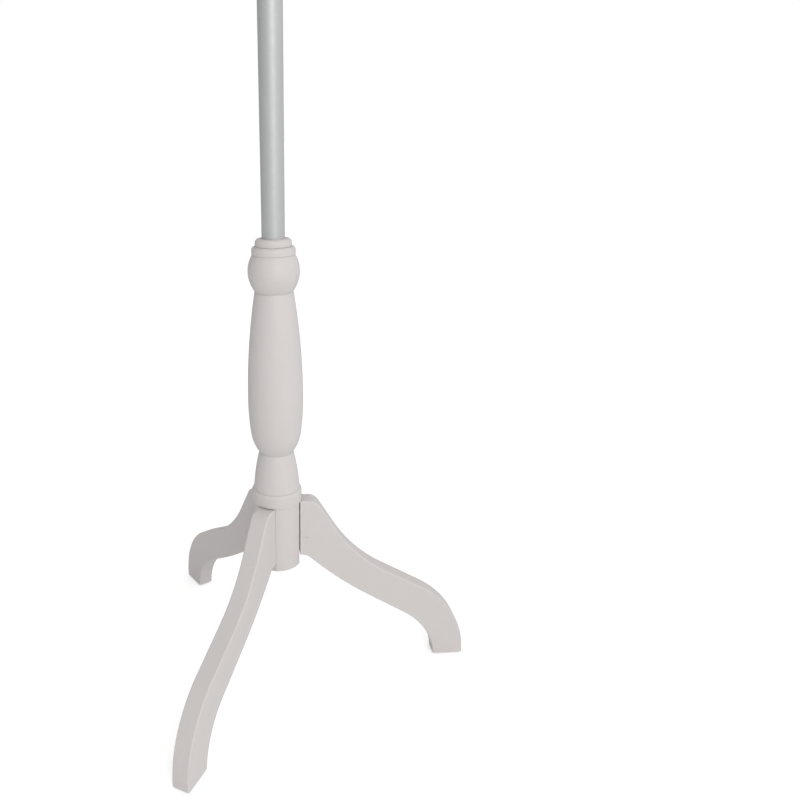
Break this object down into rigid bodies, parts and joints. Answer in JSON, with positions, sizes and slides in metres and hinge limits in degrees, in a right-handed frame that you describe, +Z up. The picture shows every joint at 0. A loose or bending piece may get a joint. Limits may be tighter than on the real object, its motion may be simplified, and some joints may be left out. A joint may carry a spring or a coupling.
{
  "type": "tripod floor lamp",
  "caption": "Floor lamp: a turned painted column on three curved legs, a satin steel tube, and a tapered fabric shade on a harp.",
  "frame": {"origin": "on the floor, on the column's axis, between the three feet", "axes": "+Z up the column and tube; +X along the right leg"},
  "size_m": [0.4912, 0.4912, 1.488],
  "materials": {
    "painted_wood": "satin paint",
    "tube_metal": "satin",
    "zinc": "zinc plated",
    "brass": "plain",
    "black_plastic": "moulded",
    "felt": "felt",
    "liner_board": "insulating sleeve",
    "glass": "frosted",
    "linen": "linen over a stiff liner",
    "trim_tape": "folded tape"
  },
  "bodies": {
    "stand": {"bulb_base": "zinc", "bulb_globe": "glass", "centre_contact": "brass", "column": "painted_wood", "cord_grommet": "black_plastic", "foot_pad_back": "felt", "foot_pad_front": "felt", "foot_pad_right": "felt", "harp": "tube_metal", "harp_saddle": "tube_metal", "harp_sleeve_left": "tube_metal", "harp_sleeve_right": "tube_metal", "holder_cap": "tube_metal", "holder_liner": "liner_board", "holder_shell": "tube_metal", "keyhole_plate_back": "zinc", "keyhole_plate_front": "zinc", "keyhole_plate_right": "zinc", "leg_back": "painted_wood", "leg_front": "painted_wood", "leg_right": "painted_wood", "leg_studs": "zinc", "nipple": "zinc", "nipple_nut": "zinc", "plate_screws": "zinc", "pole_cap": "tube_metal", "pole_coupler": "tube_metal", "pole_foot": "zinc", "pole_lower": "tube_metal", "pole_upper": "tube_metal", "screw_shell": "brass", "switch_body": "black_plastic", "tie_nut": "zinc", "tie_tube": "zinc", "tie_washer": "zinc"},
    "shade": {"shade_cover": "linen", "shade_trim_top": "trim_tape", "shade_trim_bottom": "trim_tape", "shade_top_ring": "zinc", "shade_bottom_ring": "zinc", "shade_spider": "zinc", "harp_stud": "tube_metal", "finial": "tube_metal"},
    "key": {"switch_key": "black_plastic"}
  },
  "joints": [
    {"name": "shade_turn", "type": "hinge", "parent": "stand", "child": "shade", "pos_m": [0, 0, 1.4544], "axis": [0, 0, 1], "continuous": true},
    {"name": "switch_turn", "type": "hinge", "parent": "stand", "child": "key", "pos_m": [0, -0.01555, 1.2349], "axis": [0, -1, 0], "continuous": true}
  ]
}
